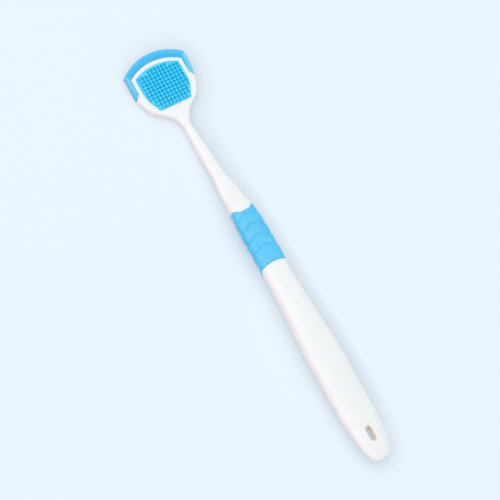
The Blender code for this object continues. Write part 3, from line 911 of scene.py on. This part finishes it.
def handle_plastic():
    """White. The hang slot's thin walls scatter light deeper, and are painted a warm glow as if lit
    through the plastic.
    """
    glow = 0.45
    material = moulded(
        "white_plastic", WHITE, roughness=0.32, grain=5200.0, grain_depth=0.00002,
        glow=glow, glow_radius=(0.9, 0.9, 0.9),
    )
    tree, shader, base = opened(material)
    axes = axes_of(tree)
    along = calculate(tree, "SUBTRACT", axes["X"], at(LENGTH - SLOT_FROM_END))
    past = calculate(tree, "SUBTRACT", calculate(tree, "ABSOLUTE", along), SLOT_RUN)
    past = calculate(tree, "POWER", calculate(tree, "MAXIMUM", past), 2.0)
    square = calculate(tree, "ADD", past, calculate(tree, "MULTIPLY", axes["Y"], axes["Y"]))
    away = calculate(tree, "SQRT", square)
    share = map_range(tree, away, SLOT_WIDTH / 2 + SLOT_EDGE_OUT, SLOT_WIDTH / 2)
    # Painted glow: the slot's walls are coloured warm, as if lit through the plastic
    feed(tree, shader.inputs["Base Color"], mixed(tree, share, base, SLOT_WALL_PAINTED_GLOW))
    feed(tree, shader.inputs["Subsurface Weight"], spread(tree, share, glow, 1.0))
    feed(tree, shader.inputs["Subsurface Scale"], spread(tree, share, GLOW_SCALE, SLOT_GLOW_SCALE))
    return material


def lip_plastic():
    """Blue. Painted light: its arms are coloured paler than its top, and paler at their crest than
    at their foot, as if their slopes caught more of the lamps.
    """
    material = moulded(
        "lip_plastic", LIP_BLUE, roughness=0.40, grain=4200.0, grain_depth=0.00003,
        glow=0.3, glow_radius=(0.3, 0.8, 1.0),
    )
    tree, shader, base = opened(material)
    axes = axes_of(tree)
    past = calculate(tree, "SUBTRACT", calculate(tree, "ABSOLUTE", axes["Y"]), axes["X"])
    line = MITRE - LENGTH / 2
    # Painted light: past the mitre the arms turn paler, most at their crest
    arm = map_range(tree, past, line - ARM_PAINTED_LIGHT_BLEND, line + ARM_PAINTED_LIGHT_BLEND, 0.0, ARM_PAINTED_LIGHT_SHARE)
    foot, top = PLATE_THICKNESS - 0.0001, PLATE_THICKNESS + 0.0007
    painted_light = calculate(tree, "MULTIPLY", arm, map_range(tree, axes["Z"], foot, top, ARM_FOOT_PAINTED_LIGHT_SHARE))
    feed(tree, shader.inputs["Base Color"], mixed(tree, painted_light, base, LIP_ARM_PAINTED_LIGHT))
    return material


def pad_plastic():
    """Blue, with painted shade deep between the nubs, painted light at the pad's open margin, and
    nubs painted lighter up to their tips.
    """
    material = moulded(
        "pad_plastic", PAD_BLUE, roughness=0.45, grain=4200.0, grain_depth=0.00002,
        glow=0.5, glow_radius=(0.4, 0.4, 0.4),
    )
    tree, shader, base = opened(material)
    height = axes_of(tree)["Z"]
    foot = PAD_SURFACE + 0.0002
    # Painted light up each nub: darker at its foot, lighter at its tip
    nub_painted_light_ramp = tree.nodes.new("ShaderNodeValToRGB")
    stops = nub_painted_light_ramp.color_ramp.elements
    stops[0].color, stops[1].color = (*NUB_SHADED_FOOT, 1.0), (*NUB_LIT_TIP, 1.0)
    stops.new(NUB_PAINTED_MIDDLE_AT).color = (*NUB_PAINTED_MIDDLE, 1.0)
    feed(tree, nub_painted_light_ramp.inputs["Fac"], map_range(tree, height, foot, PAD_SURFACE + NUB_HEIGHT))
    # Painted shade between the nubs: the more a point is hidden, the nearer its colour to the deep
    # blue
    openness = tree.nodes.new("ShaderNodeAmbientOcclusion")
    openness.inputs["Distance"].default_value = NUB_PITCH_ALONG
    clear = map_range(tree, openness.outputs["AO"], PAD_SHADE_FULL_BELOW, PAD_SHADE_GONE_ABOVE)
    painted_shade_sheet = mixed(tree, clear, base, PAD_OPEN_PAINTED_LIGHT)
    nub = calculate(tree, "GREATER_THAN", height, foot)
    feed(tree, shader.inputs["Base Color"], mixed(tree, nub, painted_shade_sheet, nub_painted_light_ramp.outputs["Color"]))
    return material


# The white handle
handle = new_object("handle_skin", body_mesh())
seat = new_object("lip_seat", band("lip_seat", lip_paths(SEAM, CLEAR), seat_profile))
apply_boolean(handle, seat, "DIFFERENCE")
pocket_levels = [(SEAM, PLATE_THICKNESS - POCKET_DEPTH)]
for step in range(SOFT_EDGE_SPANS + 1):
    turn = math.pi / 2 * step / SOFT_EDGE_SPANS
    height = PLATE_THICKNESS - SOFT_EDGE * (1 - math.sin(turn))
    pocket_levels.append((SEAM + SOFT_EDGE * (1 - math.cos(turn)), height))
pocket_levels.append((SEAM + CUT_FLARE, PLATE_THICKNESS + CLEAR))
pocket = new_object("pocket", skin_through("pocket", outline_rings(pad_outline(), pocket_levels)))
apply_boolean(handle, pocket, "DIFFERENCE")
apply_boolean(handle, new_object("slot", slot_mesh()), "DIFFERENCE")
drop_slivers(handle)
finish_piece(handle, handle_plastic())

# The scraper lip
lip = new_object("lip_skin", band("lip_skin", lip_paths(), lip_profile))
finish_piece(lip, lip_plastic())

# The nub pad
edge_levels = [(0.0, PLATE_THICKNESS - POCKET_DEPTH + SEAM)]
for step in range(PAD_EDGE_SPANS + 1):
    turn = math.pi / 2 * step / PAD_EDGE_SPANS
    out = -PAD_EDGE_RADIUS * (1 - math.cos(turn))
    edge_levels.append((out, PAD_SURFACE - PAD_EDGE_RADIUS * (1 - math.sin(turn))))
pad = new_object("pad_skin", skin_through("pad_skin", outline_rings(pad_outline(), edge_levels)))
apply_boolean(pad, new_object("nubs", nubs_mesh()), "UNION")
finish_piece(pad, pad_plastic())


def shifted(line, by):
    return lambda angle: line(angle) + by


def sleeve_mesh():
    """The grip: down the outside over the steps, and back along the inside."""
    front, rear = shifted(grip_front, SEAM), shifted(grip_rear, -SEAM)
    steps = [step_line(i) for i in range(STEP_COUNT)]
    middle = GRIP_EDGE_MIDDLE
    rings = [ring(front, -GRIP_DEPTH / 2), ring(front, -SEAM), ring(shifted(front, middle), middle)]
    before = shifted(front, GRIP_EDGE)
    rings.append(ring(before, GRIP_PROUD))
    top = GRIP_PROUD
    for line in steps:
        foot = shifted(line, -GROOVE_WIDTH)
        for k in range(1, STEP_RINGS + 1):
            share = k / STEP_RINGS
            rings.append(ring(between(before, foot, share), lerp(top, GRIP_PROUD, share)))
        for along, out in GROOVE:
            rings.append(ring(shifted(line, along), out))
        before, top = shifted(line, GROOVE[-1][0]), GROOVE[-1][1]
    last = shifted(rear, -GRIP_EDGE)
    for k in range(1, LAST_STEP_RINGS + 1):
        share = k / LAST_STEP_RINGS
        rings.append(ring(between(before, last, share), lerp(top, GRIP_PROUD, share)))
    rings += [ring(shifted(rear, -middle), middle), ring(rear, -SEAM)]
    for k in range(SLEEVE_INSIDE_RINGS + 1):
        share = k / SLEEVE_INSIDE_RINGS
        rings.append(ring(between(rear, front, share), SEAM - GRIP_DEPTH))
    return skin_through("grip_skin", rings, closed=True)


# The grip sleeve
grip = new_object("grip_skin", sleeve_mesh())
grip_plastic = moulded(
    "grip_plastic", GRIP_BLUE, roughness=0.30, grain=3600.0, grain_depth=0.00004,
    glow=0.2, glow_radius=(0.3, 0.8, 1.0),
)
finish_piece(grip, grip_plastic, sharp_angle=32)

for piece, node, slot in (
    (handle, "handle", "white_plastic"),
    (lip, "scraper_lip", "lip_soft_plastic"),
    (pad, "brush_pad", "pad_soft_plastic"),
    (grip, "grip_sleeve", "grip_soft_plastic"),
):
    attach(piece, "root")
    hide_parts(node)

# Floor, backdrop and light
GROUND = (0.831, 0.922, 1.0)
GROUND_DARKEST = 0.995
GROUND_NOISE = (3.0, 1.0)
GROUND_SIZE = 6.0
GROUND_LEVEL = -0.0002

# The contact shadow: its lean away from upright, its reach, the open share of the sky at which it
# is darkest, its level there, and the backdrop's share of the floor that the camera sees
SHADOW_LEAN = math.radians(33)
SHADOW_REACH = 0.0100
SHADOW_FROM = 0.38
SHADOW_LEVEL = 0.66
SHADOW_SHARE = 0.80

SKY = (0.98, 1.0, 1.0)
SKY_HORIZON = 0.40
SKY_ZENITH = 0.66


def backdrop_rays(tree, most=1.0):
    """1 to the rays that should find the plain backdrop, and 0 to those that carry light."""
    path = tree.nodes.new("ShaderNodeLightPath").outputs
    share = calculate(tree, "MAXIMUM", path["Is Camera Ray"], path["Is Glossy Ray"])
    share = calculate(tree, "MAXIMUM", share, path["Is Transmission Ray"])
    return calculate(tree, "MULTIPLY", share, most)


def choose(tree, share, first, second, output):
    """Sends a share of two shaders to the tree's output node."""
    chooser = tree.nodes.new("ShaderNodeMixShader")
    for socket, value in zip(chooser.inputs, (share, first, second)):
        tree.links.new(value, socket)
    tree.links.new(chooser.outputs["Shader"], tree.nodes[output].inputs["Surface"])


def ground_material():
    """A matt floor that the camera sees mostly as the backdrop, with a soft contact shadow."""
    material, tree, shader = shader_graph("ground")
    darker = tuple(c * GROUND_DARKEST for c in GROUND)
    tint = mixed(tree, noise(tree, *GROUND_NOISE), GROUND, darker)
    feed(tree, shader.inputs["Base Color"], tint)
    shader.inputs["Roughness"].default_value = 1.0
    shader.inputs["Specular IOR Level"].default_value = 0.0
    towards_light = tree.nodes.new("ShaderNodeCombineXYZ")
    towards_light.inputs["Y"].default_value = math.sin(SHADOW_LEAN)
    towards_light.inputs["Z"].default_value = math.cos(SHADOW_LEAN)
    hidden = tree.nodes.new("ShaderNodeAmbientOcclusion")
    hidden.inputs["Distance"].default_value = SHADOW_REACH
    feed(tree, hidden.inputs["Normal"], towards_light.outputs["Vector"])
    backdrop = tree.nodes.new("ShaderNodeEmission")
    feed(tree, backdrop.inputs["Color"], tint)
    strength = map_range(tree, hidden.outputs["AO"], SHADOW_FROM, 1.0, SHADOW_LEVEL)
    feed(tree, backdrop.inputs["Strength"], strength)
    seen = backdrop_rays(tree, SHADOW_SHARE)
    choose(tree, seen, shader.outputs["BSDF"], backdrop.outputs["Emission"], "Material Output")
    return material


def sky_light(sky):
    """Light from all round, stronger from above, and the plain backdrop behind the brush."""
    background = sky.nodes["Background"]
    feed(sky, background.inputs["Color"], SKY)
    directions = sky.nodes.new("ShaderNodeTexCoord")
    parts = sky.nodes.new("ShaderNodeSeparateXYZ")
    sky.links.new(directions.outputs["Generated"], parts.inputs["Vector"])
    strength = map_range(sky, parts.outputs["Z"], 0.0, 1.0, SKY_HORIZON, SKY_ZENITH)
    feed(sky, background.inputs["Strength"], strength)
    backdrop = sky.nodes.new("ShaderNodeBackground")
    feed(sky, backdrop.inputs["Color"], GROUND)
    outputs = background.outputs["Background"], backdrop.outputs["Background"]
    choose(sky, backdrop_rays(sky), *outputs, "World Output")


bpy.ops.mesh.primitive_plane_add(size=GROUND_SIZE, location=(0.0, 0.0, GROUND_LEVEL))
floor = bpy.context.active_object
floor.name = "ground"
floor.data.materials.append(ground_material())

world = bpy.data.worlds.new("studio")
bpy.context.scene.world = world
world.use_nodes = True
sky_light(world.node_tree)


def lamp(name, place, size, power, colour):
    """A square soft lamp that points at the middle of the brush."""
    light = bpy.data.lights.new(name, "AREA")
    light.shape = "SQUARE"
    light.size = size
    light.energy = power
    light.color = colour
    made = new_object(name, light)
    made.location = place
    made.rotation_euler = (-Vector(place)).to_track_quat("-Z", "Y").to_euler()
    return made


lamp("top_box", place=(0.20, 0.10, 1.0), size=1.1, power=5.95, colour=(1.0, 1.0, 1.0))
warm_side = lamp(
    "warm_side", place=(-0.05, 0.95, 0.06), size=0.10, power=1.5, colour=(1.0, 0.12, 0.08)
)
warm_side.visible_glossy = False
# It warms the brush alone, and leaves no pool of colour on the floor
lit = bpy.data.collections.new("lit_by_warm_side")
for piece in (handle, lip, pad, grip):
    lit.objects.link(piece)
warm_side.light_linking.receiver_collection = lit

# Camera, at the photograph's viewing angle
CAMERA_TARGET = Vector((0.0034, 0.0045, 0.0050))
CAMERA_DISTANCE = 0.850
CAMERA_AZIMUTH = math.radians(109.45)
CAMERA_ELEVATION = math.radians(65.96)
CAMERA_ROLL = math.radians(-29.96)
LENS = 161.32
SENSOR_WIDTH = 36.0
CLIP_START = 0.01
# Half a pixel at the brush, because the outline was fitted to the corners of the pixels
HALF_PIXEL = 0.00019

away = Vector((
    math.cos(CAMERA_ELEVATION) * math.cos(CAMERA_AZIMUTH),
    math.cos(CAMERA_ELEVATION) * math.sin(CAMERA_AZIMUTH),
    math.sin(CAMERA_ELEVATION),
))
level_right = Vector((1.0, 0.0, 0.0)).cross(away).normalized()
level_up = away.cross(level_right)
turn_cos, turn_sin = math.cos(CAMERA_ROLL), math.sin(CAMERA_ROLL)
right = level_right * turn_cos + level_up * turn_sin
upward = level_up * turn_cos - level_right * turn_sin
camera_data = bpy.data.cameras.new("camera")
camera_data.lens = LENS
camera_data.sensor_width = SENSOR_WIDTH
camera_data.clip_start = CLIP_START
camera = new_object("camera", camera_data)
turned = Matrix((right, upward, away)).transposed().to_4x4()
place = CAMERA_TARGET + away * CAMERA_DISTANCE + (upward - right) * HALF_PIXEL
camera.matrix_world = Matrix.Translation(place) @ turned
bpy.context.scene.camera = camera
bpy.context.scene.view_settings.view_transform = "Standard"
